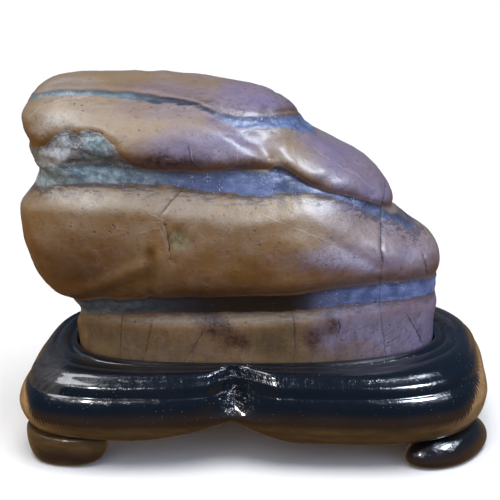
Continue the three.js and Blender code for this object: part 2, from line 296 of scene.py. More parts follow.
def line_offset(x, z, points):
    """Signed distance from a line of points in the XZ plane, positive on its left."""
    best = np.full(len(x), np.inf)
    signed = np.full(len(x), np.inf)
    for (x0, z0), (x1, z1) in zip(points, points[1:]):
        run, rise = x1 - x0, z1 - z0
        t = np.clip(((x - x0) * run + (z - z0) * rise) / (run * run + rise * rise), 0, 1)
        away = np.hypot(x - x0 - t * run, z - z0 - t * rise)
        side = np.sign(run * (z - z0) - rise * (x - x0))
        nearer = away < best
        best = np.where(nearer, away, best)
        signed = np.where(nearer, away * np.where(side == 0, 1, side), signed)
    return signed


def oval(x, z, centre, radii, turn=0.0):
    """1 at the centre of an oval zone, falling to 0 at its edge."""
    c, s = math.cos(math.radians(turn)), math.sin(math.radians(turn))
    dx, dz = x - centre[0], z - centre[1]
    along, across = (dx * c + dz * s) / radii[0], (dz * c - dx * s) / radii[1]
    return 1 - smoothstep(np.hypot(along, across))


def ovals(x, z, table):
    """The strongest of several oval zones."""
    return np.maximum.reduce([strength * oval(x, z, *shape) for strength, *shape in table])


# ---- meshes


def skin_over_rings(rings, bottom, top):
    """Vertices and faces of a closed skin over rings of points, from the bottom up."""
    count, around = rings.shape[:2]
    vertices = np.vstack([rings.reshape(-1, 3), bottom, top])
    i = np.arange(around)
    after = (i + 1) % around
    faces = []
    for ring in range(count - 1):
        low, high = ring * around, (ring + 1) * around
        faces.append(np.stack([low + i, low + after, high + after, high + i], axis=1))
    quads = np.vstack(faces)
    end = (count - 1) * around
    bottom_fan = np.stack([np.full(around, count * around), after, i], axis=1)
    top_fan = np.stack([np.full(around, count * around + 1), end + i, end + after], axis=1)
    return vertices, quads, np.vstack([bottom_fan, top_fan])


def with_ends(attributes, has_crown=False):
    """The attributes with values for a skin's two end points, the last of which may take the top ring's."""
    return {
        key: np.append(values, [0, values[-1] if has_crown else 0]) for key, values in attributes.items()
    }


def add_piece(name, shape, attributes, material, node, sharp_angle=55):
    """Adds a closed mesh that stands for a CAD node, with its attributes by name."""
    vertices, quads, fans = shape
    mesh = bpy.data.meshes.new(name)
    corner_count = quads.size + fans.size
    face_sizes = np.concatenate([np.full(len(quads), 4), np.full(len(fans), 3)])
    mesh.vertices.add(len(vertices))
    mesh.vertices.foreach_set("co", ((vertices - FOOTPRINT_MIDDLE) * MM).ravel())
    mesh.loops.add(corner_count)
    mesh.loops.foreach_set("vertex_index", np.concatenate([quads.ravel(), fans.ravel()]))
    mesh.polygons.add(len(face_sizes))
    mesh.polygons.foreach_set("loop_start", np.concatenate([[0], np.cumsum(face_sizes)[:-1]]))
    mesh.update(calc_edges=True)
    mesh.validate()
    for key, values in attributes.items():
        mesh.attributes.new(key, "FLOAT", "POINT").data.foreach_set("value", values.astype(np.float32))
    mesh.shade_smooth()
    mesh.set_sharp_from_angle(angle=math.radians(sharp_angle))
    mesh.materials.append(material)
    piece = bpy.data.objects.new(name, mesh)
    bpy.context.scene.collection.objects.link(piece)
    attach(piece, "root")
    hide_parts(node)
    return piece


# ---- the stone's shape

REACH = [smooth_curve(table) for table in (LEFT_REACH, RIGHT_REACH, FRONT_REACH, BACK_REACH)]


def squareness(x, y):
    """Squareness of the plan: the front left corner is the boldest one."""
    right = smoothstep(0.5 + x)
    back = smoothstep(0.5 + y)
    front_power = 3.1 - 0.8 * right
    back_power = 2.5 - 0.1 * right
    return front_power + (back_power - front_power) * back


def groove_inset(x, y, z):
    """How far the grooves cut in at a point."""
    inset = np.zeros_like(x)
    for seam in SEAMS:
        offset = z - seam.height(x, y)
        past = np.maximum(np.abs(offset) - seam.half_width(x), 0)
        t = np.minimum(past / np.where(offset > 0, seam.above, seam.below), 1)
        share = np.where(offset > 0, (1 - t) ** LIP_SHARPNESS, 1 - smoothstep(t))
        inset = np.maximum(inset, seam.depth(x) * share)
    return inset


def outside_stone(x, y, z):
    """Roughly the distance of a point outside the stone; negative inside."""
    left, right, front, back = (reach(z) for reach in REACH)
    dx = x - (left + right) / 2
    dy = y - (front + back) / 2
    unit_x = dx / ((right - left) / 2)
    unit_y = dy / ((back - front) / 2)
    power = squareness(unit_x, unit_y)
    size = (np.abs(unit_x) ** power + np.abs(unit_y) ** power) ** (1 / power)
    side = np.hypot(dx, dy) * (1 - 1 / np.maximum(size, 0.01)) + groove_inset(x, y, z)
    top_x, top_y, top_z = CROWN_TOP
    above = z - (top_z - CROWN_FALL[0] * (x - top_x) ** 2 - CROWN_FALL[1] * (y - top_y) ** 2)
    overlap = np.maximum(CROWN_ROUNDING - np.abs(side - above), 0) / CROWN_ROUNDING
    return np.maximum(side, above) + overlap * overlap * CROWN_ROUNDING / 4


def stone_points(angle, climb):
    """Points on the stone: angle goes round it, climb from the base (0) up the sides to the crown (1)."""
    tilt = np.maximum((climb - SHOULDER) / (1 - SHOULDER), 0) * (math.pi / 2)
    rise = np.minimum(climb / SHOULDER, 1)
    start_z = STONE_BASE_Z + (STONE_CENTRE[2] - STONE_BASE_Z) * rise
    ahead = np.cos(tilt)
    direction = np.stack([np.cos(angle) * ahead, np.sin(angle) * ahead, np.sin(tilt)], axis=-1)
    start = np.broadcast_to(STONE_CENTRE, direction.shape).copy()
    start[..., 2] = start_z

    def is_inside(distance):
        p = start + direction * distance[..., None]
        return outside_stone(p[..., 0], p[..., 1], p[..., 2]) < 0

    reach = boundary(is_inside, np.zeros_like(climb), np.full_like(climb, FAR))
    return start + direction * reach[..., None]


def column_angles(count):
    """Angles whose columns are evenly spaced on the stone, closer together on its front."""
    fine = np.linspace(0, 2 * math.pi, 4001)
    x, y = 90 * np.cos(fine), 44 * np.sin(fine)
    spacing = np.hypot(np.diff(x), np.diff(y)) * np.where(y[1:] < 0, FRONT_DENSITY, BACK_DENSITY)
    along = np.concatenate([[0], np.cumsum(spacing)])
    wanted = np.linspace(0, along[-1], count, endpoint=False)
    return np.interp(wanted, along, np.unwrap(np.arctan2(y, x)))


def stone_rings():
    """Rings of points from the base to the crown that follow the seams."""
    angles = column_angles(STONE_COLUMNS)
    stops = [np.zeros(STONE_COLUMNS)]
    for seam in SEAMS:
        for offset in LIP_SIDES:

            def is_below(climb, seam=seam, offset=offset):
                p = stone_points(angles, climb)
                edge = seam.height(p[:, 0], p[:, 1]) + seam.half_width(p[:, 0])
                return p[:, 2] < edge + offset

            stops.append(boundary(is_below, np.zeros(STONE_COLUMNS), np.ones(STONE_COLUMNS), 20))
    stops.append(np.ones(STONE_COLUMNS))
    climbs = []
    for stretch, count in enumerate(STONE_RINGS):
        is_crown = stretch == len(STONE_RINGS) - 1
        for ring in range(count):
            t = ring / count
            eased = t**1.5 if is_crown else 0.6 * t + 0.4 * smoothstep(t)
            climbs.append(stops[stretch] + (stops[stretch + 1] - stops[stretch]) * eased)
    climbs = np.array(climbs)
    return stone_points(np.broadcast_to(angles, climbs.shape), climbs)


# ---- the stone's relief and markings

# Lines on the front face, as (x, z) points: cracks are dark and cut in, scratches are pale.
CRACKS = [
    ([(56.6, 111), (54.8, 106), (54.3, 100.7), (53, 94.8)], 0.75),
    ([(53, 94.8), (52.8, 89.8), (53.6, 85)], 1.0),
    ([(53.6, 85), (52.5, 77.5), (52.7, 68.5), (53.4, 58), (55.3, 48), (56.6, 38)], 0.42),
    ([(-55.9, 60), (-56.8, 51), (-57.6, 40)], 0.5),
    ([(-43.1, 58.5), (-45, 50), (-47.5, 40.5)], 0.5),
    ([(-20.9, 57.5), (-25, 49), (-29.6, 41)], 0.55),
    ([(16, 62), (16.9, 52), (16.6, 40.5)], 0.45),
    ([(65.6, 57.5), (69.5, 50), (73.1, 42)], 0.65),
    ([(35.4, 60), (35.9, 56), (34.2, 51)], 0.8),
    ([(55.6, 47), (57.5, 46.2), (60.5, 47.6)], 0.7),
    ([(-29.5, 116.8), (-34.3, 112.7), (-37, 109.5)], 0.7),
    ([(-36.2, 104.6), (-35.1, 99), (-34.5, 93.4)], 0.9),
    ([(71.4, 84), (73.2, 79.4), (74, 74.6)], 0.7),
    ([(-26.3, 134.5), (-25.9, 130.4), (-22.6, 126.6)], 0.55),
    ([(-90, 129), (-83, 137), (-75, 140)], 0.6),
]
BACK_CRACKS = [
    ([(-62, 112), (-58, 100), (-60, 88), (-55, 76)], 0.8),
    ([(8, 150), (14, 140), (12, 131)], 0.6),
    ([(34, 98), (40, 90), (38, 80), (43, 73)], 0.8),
    ([(-20, 60), (-23, 50), (-22, 40)], 0.7),
    ([(48, 60), (46, 50), (50, 40)], 0.6),
]
SCRATCHES = [
    ([(-89.4, 130.6), (-82.6, 137.4), (-74.9, 140.2)], 1.0),
    ([(-73.3, 135.2), (-69, 131), (-64, 129.5)], 1.0),
    ([(-86, 133), (-80, 131.5), (-72, 134)], 0.6),
    ([(-42.2, 109), (-36.2, 106.2)], 0.7),
    ([(4, 107.6), (14.2, 103.4), (26.5, 97.5), (32.7, 95.1)], 0.55),
    ([(-25.2, 134), (-24.9, 130.2), (-21.8, 126.8)], 0.7),
    ([(-7.2, 133.8), (-6.8, 129.7)], 0.6),
    ([(-92.4, 143.4), (-87.8, 147.9), (-79.3, 151.2), (-67, 153.2)], 0.5),
    ([(-46, 101), (-38.5, 103.5), (-36.5, 98)], 0.45),
    ([(24, 131), (33, 124), (43, 119), (50, 113)], 0.4),
]


# Ridges and (negative) creases on the front face: height, half-width and (x, z) points. The gully runs down
# between the two lobes of the middle layer, and stops at the bands.
GULLY = (-2.2, 3.6, [(-3, 139), (2.9, 135), (5.3, 131.9), (8.1, 127.5), (10.2, 123)])
FOLDS = [
    (1.1, 3.0, [(-72.8, 72.5), (-59.4, 79), (-46.7, 86.5)]),
    (-0.8, 3.6, [(-66, 71), (-52, 77), (-43, 82)]),
    (-1.5, 1.9, [(-42.4, 92), (-43.2, 72)]),
    (0.7, 3.0, [(-38, 90), (-39.5, 74)]),
    (-0.5, 2.4, [(32.7, 95.1), (43.2, 88.1), (53, 83)]),
    (0.6, 5.5, [(18, 96), (30, 90), (44, 83)]),
    (-0.8, 2.6, [(26, 118), (38, 122), (46, 118), (50, 111)]),
]
# Oval zones on the front face: strength, centre, radii and turn in degrees.
SWELLS = [(1.2, (-44, 137), (32, 12), -4), (1.1, (30, 122), (20, 9), -28)]
# painted shade: dark brown on undercut surfaces, low on the left and above the lowest groove, and faintly
# under the second layer's lip; partly the stone's own iron brown
PAINTED_SHADE_BROWN = [(1, (-66, 84), (36, 24), 10), (1, (-22, 76), (54, 11), 0), (0.3, (-20, 128), (26, 4), 0)]
# dark red patches on the base layer, and along the lower edge of the second layer from the top a darkening
# that is partly painted shade
DARK_RED_AND_SHADE = [
    (1, (-16, 57), (12, 7), -20), (1, (-6, 51), (10, 6), 0), (0.8, (26, 51), (9, 8), 30),
    (0.8, (33, 56), (5, 7), 0), (1, (-35, 129.5), (26, 6), 0), (0.5, (0, 128.5), (13, 4), 0),
]
LILAC = [(1, (-20, 134), (48, 15), 0), (1, (44, 87), (60, 13), -6)]
OCHRE = [(1, (8, 50), (15, 13), 0), (0.5, (-60, 50), (28, 12), 0)]
# painted highlights: pale patches where the light catches the stone's upper surfaces
PAINTED_HIGHLIGHTS = [
    (1, (32, 88.5), (28, 6), -12), (0.8, (52, 54), (24, 9), 0), (0.7, (34, 118), (13, 5), -20),
    (0.8, (-12, 130.5), (12, 5), 0), (1, (-76, 115), (30, 7), -6), (1, (-80, 141), (20, 6), 10),
    (1, (-78, 157), (26, 6), 10), (0.6, (24, 109), (16, 6), -20),
]


def on_front(y):
    return smoothstep(-y, 0, 12)


def nearest_line(x, y, z, front_lines, back_lines):
    """Signed distance from the nearest line, and its strength there."""
    best = np.full(len(x), 9.0)
    strength = np.zeros(len(x))
    sides = [(front_lines, y < 0), (back_lines, y > 0)]
    for lines, facing in sides:
        for points, weight in lines:
            signed = line_offset(x, z, points)
            nearer = (np.abs(signed) < np.abs(best)) & facing
            fade = weight * (1 - smoothstep(np.abs(signed), 1.6, 3.2))
            best = np.where(nearer, signed, best)
            strength = np.where(nearer, fade, strength)
    return best, strength


def band_offsets(x, y, z):
    """Depth inside the nearest band (negative outside it), its side of the middle, tone and hatching."""
    best = np.full(len(x), -np.inf)
    side = np.zeros(len(x))
    tone = np.zeros(len(x))
    hatch = np.zeros(len(x))
    for seam, (upper, lower, tones), (above, below) in zip(SEAMS, BANDS, HATCHING):
        offset = z - seam.height(x, y)
        top, bottom = smooth_curve(upper)(x), smooth_curve(lower)(x)
        inside = np.minimum(top - offset, offset - bottom)
        nearer = inside > best
        best = np.where(nearer, inside, best)
        side = np.where(nearer, np.clip((offset - (top + bottom) / 2) / 1.5, -1, 1), side)
        tone = np.where(nearer, smooth_curve(tones)(x), tone)
        is_above = smoothstep(side, -0.3, 0.3)
        hatch = np.where(nearer, below + (above * smoothstep(x, -34, -16) - below) * is_above, hatch)
    return best, side, tone, hatch


# The broken patch at the left: its whole outline, and its paler and darker parts.
FRACTURE = [
    (-94, 129), (-88, 132), (-83, 135.5), (-79, 138), (-75, 140.6), (-71, 139.8), (-67, 141), (-62, 140),
    (-56, 136.5), (-54, 132), (-50, 127.5), (-46, 122), (-94, 122),
]
FRACTURE_PALE = [(-89, 128), (-83, 134.5), (-75.5, 139.5), (-74, 133), (-78, 128), (-79, 122), (-88, 122)]
FRACTURE_TEAL = [
    (-70, 136), (-66, 142), (-60, 141), (-57, 136), (-60, 130), (-50, 124), (-52, 121), (-72, 121),
]


def inside_outline(x, z, outline):
    """Signed distance inside a closed outline in the XZ plane."""
    closed = outline + outline[:1]
    away = np.abs(line_offset(x, z, closed))
    crossings = np.zeros(len(x), bool)
    for (x0, z0), (x1, z1) in zip(closed, closed[1:]):
        spans = (z0 > z) != (z1 > z)
        meets = x0 + (z - z0) * (x1 - x0) / np.where(z1 == z0, 1e-9, z1 - z0)
        crossings ^= spans & (x < meets)
    return np.where(crossings, away, -away)


def stone_zones(p):
    """Zones of the stone's surface, each from 0 to 1."""
    x, y, z = p.T
    front = on_front(y)
    wander = layered_noise(p, 16, 11)
    drift = layered_noise(p, 16, 12)
    wx, wz = x + wander * 4, z + drift * 3

    def patch(outline, soft):
        return front * smoothstep(inside_outline(x + wander * 1.6, z + drift * 1.4, outline), -soft, soft)

    lilac = np.maximum.reduce([
        0.95 * smoothstep(x + wander * 6, -34, -6) * smoothstep(z, 140, 144),
        0.5 * smoothstep(x + wander * 6, -70, -40) * smoothstep(z, 140, 148),
        ovals(wx, wz, LILAC),
        0.95 * smoothstep(x - 0.4 * (118 - z) + wander * 4, 10, 40) * smoothstep(z, 100, 108),
        0.55 * smoothstep(x + wander * 5, -5, 55),
        smoothstep(x + wander * 9, 8, 52) * smoothstep(-z, -72, -64) * (1 - oval(wx, wz, (40, 42), (22, 9))),
    ])
    return {
        "fracture": patch(FRACTURE, 1.2),
        "fracture_dip": patch(FRACTURE, 3.0),
        "fracture_pale": patch(FRACTURE_PALE, 1.5),
        "fracture_teal": patch(FRACTURE_TEAL, 2.5),
        "scar": front * oval(wx, wz, (-30, 97), (7, 8)),
        "painted_brown": front * ovals(wx, wz, PAINTED_SHADE_BROWN),
        "dark_red_and_shade": front * ovals(wx, wz, DARK_RED_AND_SHADE),
        "ochre": front * ovals(wx, wz, OCHRE),
        "lilac": np.clip(lilac, 0, 1) * (0.75 + 0.25 * front),
        "pitted": front * oval(wx, wz, (-60, 95), (24, 12), -10),
        "painted_highlight": front * ovals(wx, wz, PAINTED_HIGHLIGHTS),
        "base": 1 - smoothstep(z, 56, 64),
        "teal": smoothstep(-x + wander * 4, 22, 52),
        # the underside of the lip above each upper band, painted with a shaded reddish brown
        "lip_shade_rust": np.maximum(smoothstep(x, 6, 12) * smoothstep(-x, -34, -24), 0.3) * smoothstep(z, 90, 100),
    }


def stone_relief(p, zones, crack, crack_strength, inside, side):
    """How far the surface stands out from the plain shape, in millimetres."""
    x, y, z = p.T
    front = on_front(y)
    rise = 0.9 * layered_noise(p, 26, 1, 3) + 0.16 * layered_noise(p, 5, 5, 3)

    def fold(height, width, points):
        return height * np.exp(-((line_offset(x, z, points) / width) ** 2)) * front

    rise += smoothstep(-inside, 0, 5) * fold(*GULLY)
    rise += sum(fold(*one) for one in FOLDS)
    rise += front * sum(height * oval(x, z, *shape) for height, *shape in SWELLS)

    # the broken patch, and the left end, which is filled out below it
    facets = np.abs(layered_noise(p, (9, 9, 4), 21, 3))
    rise -= zones["fracture_dip"] * (0.8 + 1.5 * facets) * smoothstep(z, 121, 127)
    left_end = smoothstep(-x, 62, 78) * smoothstep(-y, -22, -6)
    filled = 0.66 * groove_inset(x, y, z) * left_end * smoothstep(z, 119, 125) * (1 - smoothstep(z, 133, 138))
    rise += filled
    rise -= 1.2 * left_end * np.exp(-(((z - 133) / 4.0) ** 2))
    rise -= 0.5 * smoothstep(-x, 92, 99)

    # the bulge at the right end, and the dip in the crown
    rise += 1.5 * smoothstep(x, 62, 80) * np.exp(-(((z - 87) / 9) ** 2))
    rise -= 0.9 * np.exp(-(((x + 26) / 19) ** 2)) * smoothstep(z, 149, 155)

    # small relief: scar, pits, bands and cracks
    rise -= zones["scar"] * (0.35 + 0.8 * np.abs(layered_noise(p, 3.5, 31, 2)))
    pits = smoothstep(layered_noise(p, 3.2, 41, 2), 0.75, 1.2)
    rise -= 0.45 * pits * np.clip(zones["painted_brown"] + zones["dark_red_and_shade"] + 0.15, 0, 1)
    in_band = smoothstep(inside, -1, 1)
    rise += in_band * 0.3 * layered_noise(p, (5, 5, 2), 51, 3)
    ragged = smoothstep(-inside, 0, 2) * smoothstep(inside, -8, -1) * smoothstep(-side, 0, 0.5)
    rise += ragged * 0.18 * layered_noise(p, (7, 7, 1.3), 61, 2)
    rise -= 0.75 * crack_strength * np.exp(-((crack / 0.55) ** 2))
    seated = smoothstep(z, SOCKET_FLOOR_Z + 6, SOCKET_FLOOR_Z + 13)
    return np.minimum(rise, MOST_RISE + filled) * seated


def grid_normals(rings):
    around = np.roll(rings, -1, axis=1) - np.roll(rings, 1, axis=1)
    up = np.gradient(rings, axis=0)
    normal = np.cross(around, up)
    return normal / np.maximum(np.linalg.norm(normal, axis=-1, keepdims=True), 1e-9)


def build_stone(material):
    rings = stone_rings()
    p = rings.reshape(-1, 3)
    x, y, z = p.T
    inside, side, tone, hatch = band_offsets(x, y, z)
    crack, crack_strength = nearest_line(x, y, z, CRACKS, BACK_CRACKS)
    scratch, scratch_strength = nearest_line(x, y, z, SCRATCHES, [])
    zones = stone_zones(p)
    rise = stone_relief(p, zones, crack, crack_strength, inside, side)
    moved = rings + grid_normals(rings) * rise.reshape(rings.shape[:2])[..., None]
    moved[..., 2] -= CROWN_DROP * smoothstep(moved[..., 2], 146, 157)
    # how much the surface faces up, which the material uses to paint lighter tops and darker undersides
    facing = grid_normals(moved)[..., 2].ravel()
    base = np.array([STONE_CENTRE[0], STONE_CENTRE[1], STONE_BASE_Z])
    crown = moved[-1].mean(axis=0)
    crown[2] += 0.02
    attributes = {
        "band_inside": inside, "band_side": side, "band_tone": tone, "band_hatch": hatch, "facing": facing,
        "crack": crack, "crack_strength": crack_strength, "scratch": scratch,
        "scratch_strength": scratch_strength, **zones,
    }
    shape = skin_over_rings(moved, base, crown)
    attributes = with_ends(attributes, True)
    return add_piece("stone_surface", shape, attributes, material, "stone", 75)


# ---- the stand's shape


def closed_curve(points, turns):
    """Points on a closed centripetal Catmull-Rom curve."""
    control = np.array(points, float)
    count = len(control)
    position = (turns % 1) * count
    i = np.floor(position).astype(int)
    t = (position - i)[:, None]
    a, b, c, d = (control[(i + k) % count] for k in (-1, 0, 1, 2))
    ab, bc, cd = (np.sqrt(np.linalg.norm(q - p, axis=1))[:, None] for p, q in ((a, b), (b, c), (c, d)))
    leave = ((b - a) / ab - (c - a) / (ab + bc) + (c - b) / bc) * bc
    arrive = ((c - b) / bc - (d - b) / (bc + cd) + (d - c) / cd) * bc
    return b + t * (leave + t * (3 * (c - b) - 2 * leave - arrive + t * (2 * (b - c) + leave + arrive)))


def open_curve(points, count):
    """Evenly numbered points on a smooth line through the given ones."""
    index = np.arange(len(points))
    at = np.linspace(0, len(points) - 1, count)
    return [smooth_curve(list(zip(index, [p[k] for p in points])))(at) for k in (0, 1)]


def socket_wall(edge):
    centre = STONE_CENTRE[:2]
    direction = edge - centre
    direction /= np.linalg.norm(direction, axis=1)[:, None]

    def is_inside(distance):
        p = centre + direction * distance[:, None]
        return outside_stone(p[:, 0], p[:, 1], np.full(len(p), SOCKET_OUTLINE_Z)) < SEAT_GAP

    reach = boundary(is_inside, np.zeros(len(edge)), np.full(len(edge), FAR))
    return centre + direction * reach[:, None]


def apron_height(x, y):
    """The height of the apron's edge: level with the underside, and rising in a cusp at the front."""
    run = np.where(x < CUSP_X, CUSP_LEFT[0], CUSP_RIGHT[0])
    power = np.where(x < CUSP_X, CUSP_LEFT[1], CUSP_RIGHT[1])
    nearness = np.maximum(1 - np.abs(x - CUSP_X) / run, 0)
    return UNDERSIDE_Z - UNDERSIDE_SLOPE * x + np.where(y < 0, CUSP_RISE * nearness**power, 0)


def build_ring(material):
    turns = np.arange(RING_COLUMNS) / RING_COLUMNS
    edge = closed_curve(RING_OUTLINE, turns)
    edge += (FOOTPRINT_MIDDLE[:2] - edge) * RING_SHRINK
    wall = socket_wall(edge)
    right = smoothstep(edge[:, 0] - CUSP_X, -1, 1)
    notch_reach = NOTCH_LEFT + (NOTCH_RIGHT - NOTCH_LEFT) * right
    nearness = np.maximum(1 - np.hypot(edge[:, 0] - CUSP_X, 0.6) / notch_reach, 0)
    notch = np.where(edge[:, 1] < 0, nearness**1.25, 0)
    lift = apron_height(edge[:, 0], edge[:, 1]) - UNDERSIDE_Z
    slope = -UNDERSIDE_SLOPE * edge[:, 0]
    rows = []
    for share in UNDERSIDE_SHARES:
        plan = edge + (wall - edge) * share
        flute = np.clip((FLUTE_END - share) / (FLUTE_END - FLUTE_START), 0, 1)
        flat = UNDERSIDE_Z - UNDERSIDE_SLOPE * plan[:, 0]
        rows.append(np.column_stack([plan, flat + (lift - slope) * flute]))
    facet = np.sqrt(notch) * (0.35 + 0.65 * right)
    for share, z in zip(*open_curve(RING_SECTION, RING_ROWS)):
        level = (z - FACET_START) / (FACET_END - FACET_START)
        flattened = (FACET_SHARE * level - share) * facet if 0 < level < 1 else 0 * facet
        plan = edge + (wall - edge) * (share + flattened)[:, None]
        low = 1 - smoothstep((z - UNDERSIDE_Z) / APRON_DEPTH)
        plan[:, 1] += NOTCH_DEPTH * notch * smoothstep(z, 17, 37) * (1 - smoothstep(share, 0.3, 0.75))
        rows.append(np.column_stack([plan, z + lift * low]))
    for z in SOCKET_ROWS:
        rows.append(np.column_stack([wall, np.full(RING_COLUMNS, z)]))
    rings = np.array(rows)
    p = rings.reshape(-1, 3)
    along = np.cumsum(np.linalg.norm(np.roll(edge, -1, axis=0) - edge, axis=1))
    along = np.tile(np.roll(along, RING_COLUMNS // 4) % along[-1], len(rings))
    x, y, z = p.T
    ends = smoothstep(np.abs(x), 74, 96)
    # how far below the edge of the painted brown reflection, which rises towards the ends
    below_reflection_edge = 21 + 15 * smoothstep(x, 86, 102) + 14 * smoothstep(-x, 90, 101) - z
    shares = np.linspace(0, 1, RING_ROWS)[:, None]
    top = np.zeros(rings.shape[:2])
    first = len(UNDERSIDE_SHARES)
    top[first:first + RING_ROWS] = smoothstep(shares, 0.22, 0.34) * (1 - smoothstep(shares, 0.9, 1))
    worn_left = smoothstep(-x, 70, 92) * smoothstep(20 - y, 0, 20)
    worn_right = 0.6 * smoothstep(x, 60, 86) * smoothstep(y, -15, 15)
    worn = top.ravel() * np.maximum(worn_left, worn_right)
    notched = np.tile(notch, len(rings)) * smoothstep(z, 20, 28)
    attributes = {"along": along, "ends": ends, "below_reflection_edge": below_reflection_edge, "worn": worn, "notched": notched}
    middle = np.array([*STONE_CENTRE[:2], UNDERSIDE_Z - UNDERSIDE_SLOPE * STONE_CENTRE[0]])
    floor = np.array([*STONE_CENTRE[:2], SOCKET_FLOOR_Z])
    shape = skin_over_rings(rings, middle, floor)
    return add_piece("stand_ring", shape, with_ends(attributes), material, "stand_body", 50)


def foot_plan(start, end, inset, steps=90):
    middle, half = (inset + FOOT_DEPTH) / 2, (FOOT_DEPTH - inset) / 2
    along = -np.cos(np.arange(steps + 1) / steps * math.pi)
    turns = (start + end) / 2 + (end - start) / 2 * along
    edge = closed_curve(RING_OUTLINE, turns)
    tangent = closed_curve(RING_OUTLINE, turns + 1e-4) - closed_curve(RING_OUTLINE, turns - 1e-4)
    tangent /= np.linalg.norm(tangent, axis=1)[:, None]
    inward = np.column_stack([-tangent[:, 1], tangent[:, 0]])
    bulge = half * np.sqrt(np.maximum(1 - along**4, 0))[:, None]
    outer = edge + inward * (middle - bulge)
    inner = edge + inward * (middle + bulge)
    return np.vstack([outer, inner[1:-1][::-1]]), (outer[steps // 2] + inner[steps // 2]) / 2


def build_foot(node, material):
    start, end, inset = FEET[node]
    plan, middle = foot_plan(start, end, inset)
    rows = []
    is_left = node.endswith("left")
    section = BOWL_SECTION if is_left else CUSHION_SECTION
    for scale, rise in zip(*open_curve(section, FOOT_ROWS)):
        spot = middle + (plan - middle) * scale
        top = UNDERSIDE_Z - UNDERSIDE_SLOPE * spot[:, 0] - CLEARANCE
        rows.append(np.column_stack([spot, top * np.clip(rise, 0, 1)]))
    rings = np.array(rows)
    p = rings.reshape(-1, 3)
    along = np.tile(np.cumsum(np.linalg.norm(np.roll(plan, -1, axis=0) - plan, axis=1)), len(rings))
    level = p[:, 2] / UNDERSIDE_Z
    # the painted brown reflection on the feet: on the left foot brown towards the top and a dark lens across
    # the middle, on the right foot only a little at the bottom edge
    if is_left:
        below_reflection_edge = 8 * (np.abs(level + 0.2 * layered_noise(p, 14, 71, 2) - 0.32) - 0.2)
    else:
        below_reflection_edge = 9 * (0.1 - level)
    attributes = {
        "along": along, "ends": 0 * level, "below_reflection_edge": below_reflection_edge, "worn": 0 * level,
        "notched": np.full(len(p), 0.0 if is_left else 0.35),
    }
    top_z = UNDERSIDE_Z - UNDERSIDE_SLOPE * middle[0] - CLEARANCE
    shape = skin_over_rings(rings, np.array([*middle, 0.0]), np.array([*middle, top_z]))
    return add_piece(node + "_surface", shape, with_ends(attributes), material, node, 50)


# ---- materials


class Value:
    """A node's output. Arithmetic on it adds nodes to its material."""

    def __init__(self, shader, socket):
        self.shader = shader
        self.socket = socket

    def math(self, operation, *others):
        return self.shader.value("ShaderNodeMath", dict(enumerate([self, *others])), operation=operation)

    def __add__(self, other):
        return self.math("ADD", other)

    def __sub__(self, other):
        return self.math("SUBTRACT", other)

    def __mul__(self, other):
        return self.math("MULTIPLY", other)

    def __abs__(self):
        return self.math("ABSOLUTE")

    def inverse(self):
        """1 where this is 0, and 0 where this is 1."""
        return self * -1.0 + 1.0

    def swing(self, amount):
        """Noise from 0 to 1 as an offset on both sides of 0."""
        return (self - 0.5) * amount

    def wave(self, length):
        return (self * (2 * math.pi / length)).math("SINE")

    def step(self, low, high):
        """0 below low, 1 above high and smooth between; high may be the lower one."""
        inputs = {"Value": self, "From Min": low, "From Max": high}
        return self.shader.value("ShaderNodeMapRange", inputs, interpolation_type="SMOOTHSTEP")


